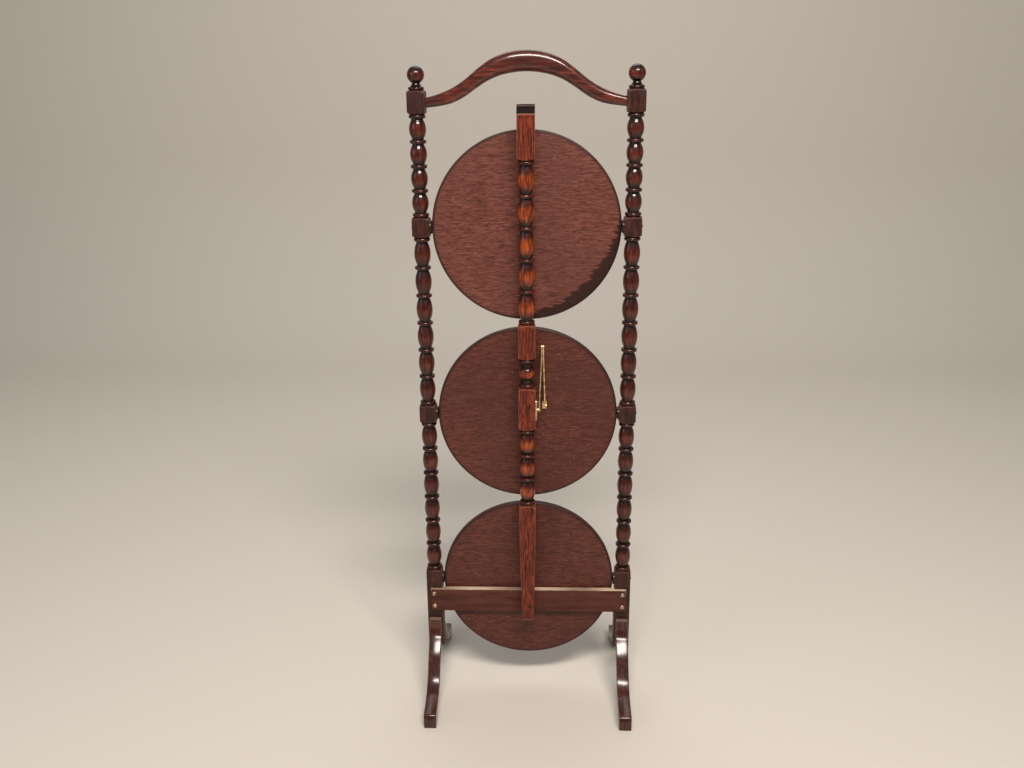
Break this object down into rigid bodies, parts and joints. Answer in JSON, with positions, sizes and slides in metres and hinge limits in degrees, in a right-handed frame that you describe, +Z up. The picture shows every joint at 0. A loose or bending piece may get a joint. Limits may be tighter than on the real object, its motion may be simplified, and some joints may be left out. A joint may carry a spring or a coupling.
{
  "type": "folding cake stand",
  "caption": "Tall folding stand with round trays pivoted between two bobbin-turned posts, a front link bar that levels the trays together, a bowed carrying handle and splayed legs.",
  "frame": {"origin": "on the floor, midway between the two posts", "axes": "+Z up, +X to the right seen from the link bar's side, +Y away from the link bar; drawn folded"},
  "size_m": [0.3058, 0.242, 0.9208],
  "materials": {
    "turned_wood": "dark red-brown stained and polished",
    "handle_wood": "dark red-brown, glossy",
    "leg_wood": "dark red-brown, glossy",
    "rail_wood": "dark brown, matt with worn edges",
    "tray_wood": "dark brown open-grained, matt",
    "plain_wood": "unfinished hardwood",
    "dark_wood": "dark stained",
    "brass": "bright, lightly worn",
    "pale_brass": "dull, pale",
    "dark_steel": "darkened"
  },
  "bodies": {
    "frame": {"post_left": "turned_wood", "post_right": "turned_wood", "handle": "handle_wood", "rail": "rail_wood", "rail_screws": "pale_brass", "leg_front_left": "leg_wood", "leg_front_right": "leg_wood", "leg_rear_left": "leg_wood", "leg_rear_right": "leg_wood", "leg_dowels": "plain_wood", "pivot_pins": "dark_steel", "pivot_washers": "dark_wood"},
    "tray_top": {"tray_top": "tray_wood", "tray_hinge_leaf_top": "brass", "tray_hinge_screws_top": "brass"},
    "tray_middle": {"tray_middle": "tray_wood", "tray_hinge_leaf_middle": "brass", "tray_hinge_screws_middle": "brass", "stay_bracket": "brass", "stay_bracket_screws": "brass", "stay_tray_rivet": "brass"},
    "tray_bottom": {"tray_bottom": "tray_wood", "tray_hinge_leaf_bottom": "brass", "tray_hinge_screws_bottom": "brass"},
    "link_bar": {"link_bar": "turned_wood", "hinge_pad_top": "plain_wood", "hinge_pad_middle": "plain_wood", "hinge_pad_bottom": "plain_wood", "bar_hinge_leaf_top": "brass", "bar_hinge_leaf_middle": "brass", "bar_hinge_leaf_bottom": "brass", "hinge_pins": "brass", "bar_hinge_screws": "brass", "stay_plate": "brass", "stay_plate_screws": "brass", "stay_bar_rivet": "brass"},
    "stay_bar_arm": {"stay_bar_arm": "brass"},
    "stay_tray_arm": {"stay_tray_arm": "brass", "stay_knee_rivet": "brass"}
  },
  "joints": [
    {"name": "tray_middle_pivot", "type": "hinge", "parent": "frame", "child": "tray_middle", "pos_m": [0, 0, 0.4384], "axis": [1, 0, 0], "range_deg": [0, 90]},
    {"name": "tray_top_pivot", "type": "hinge", "parent": "frame", "child": "tray_top", "pos_m": [0, 0, 0.6999], "axis": [1, 0, 0], "range_deg": [0, 90]},
    {"name": "tray_bottom_pivot", "type": "hinge", "parent": "frame", "child": "tray_bottom", "pos_m": [0, 0, 0.1769], "axis": [1, 0, 0], "range_deg": [0, 90]},
    {"name": "link_bar_hinge", "type": "hinge", "parent": "tray_middle", "child": "link_bar", "pos_m": [0, -0.0076, 0.5567], "axis": [1, 0, 0], "range_deg": [-90, 0]},
    {"name": "stay_bar_arm_pivot", "type": "hinge", "parent": "link_bar", "child": "stay_bar_arm", "pos_m": [0.017, -0.027, 0.4524], "axis": [1, 0, 0], "range_deg": [-20.75, 0]},
    {"name": "stay_tray_arm_pivot", "type": "hinge", "parent": "tray_middle", "child": "stay_tray_arm", "pos_m": [0.0242, -0.0096, 0.4524], "axis": [1, 0, 0], "range_deg": [0, 9.93]}
  ],
  "couplings": [
    {"joint": "tray_top_pivot", "follows": "tray_middle_pivot", "ratio": 1},
    {"joint": "tray_bottom_pivot", "follows": "tray_middle_pivot", "ratio": 1},
    {"joint": "link_bar_hinge", "follows": "tray_middle_pivot", "ratio": -1},
    {"joint": "stay_bar_arm_pivot", "follows": "tray_middle_pivot", "ratio": -0.22498},
    {"joint": "stay_tray_arm_pivot", "follows": "tray_middle_pivot", "ratio": 0.10478}
  ]
}
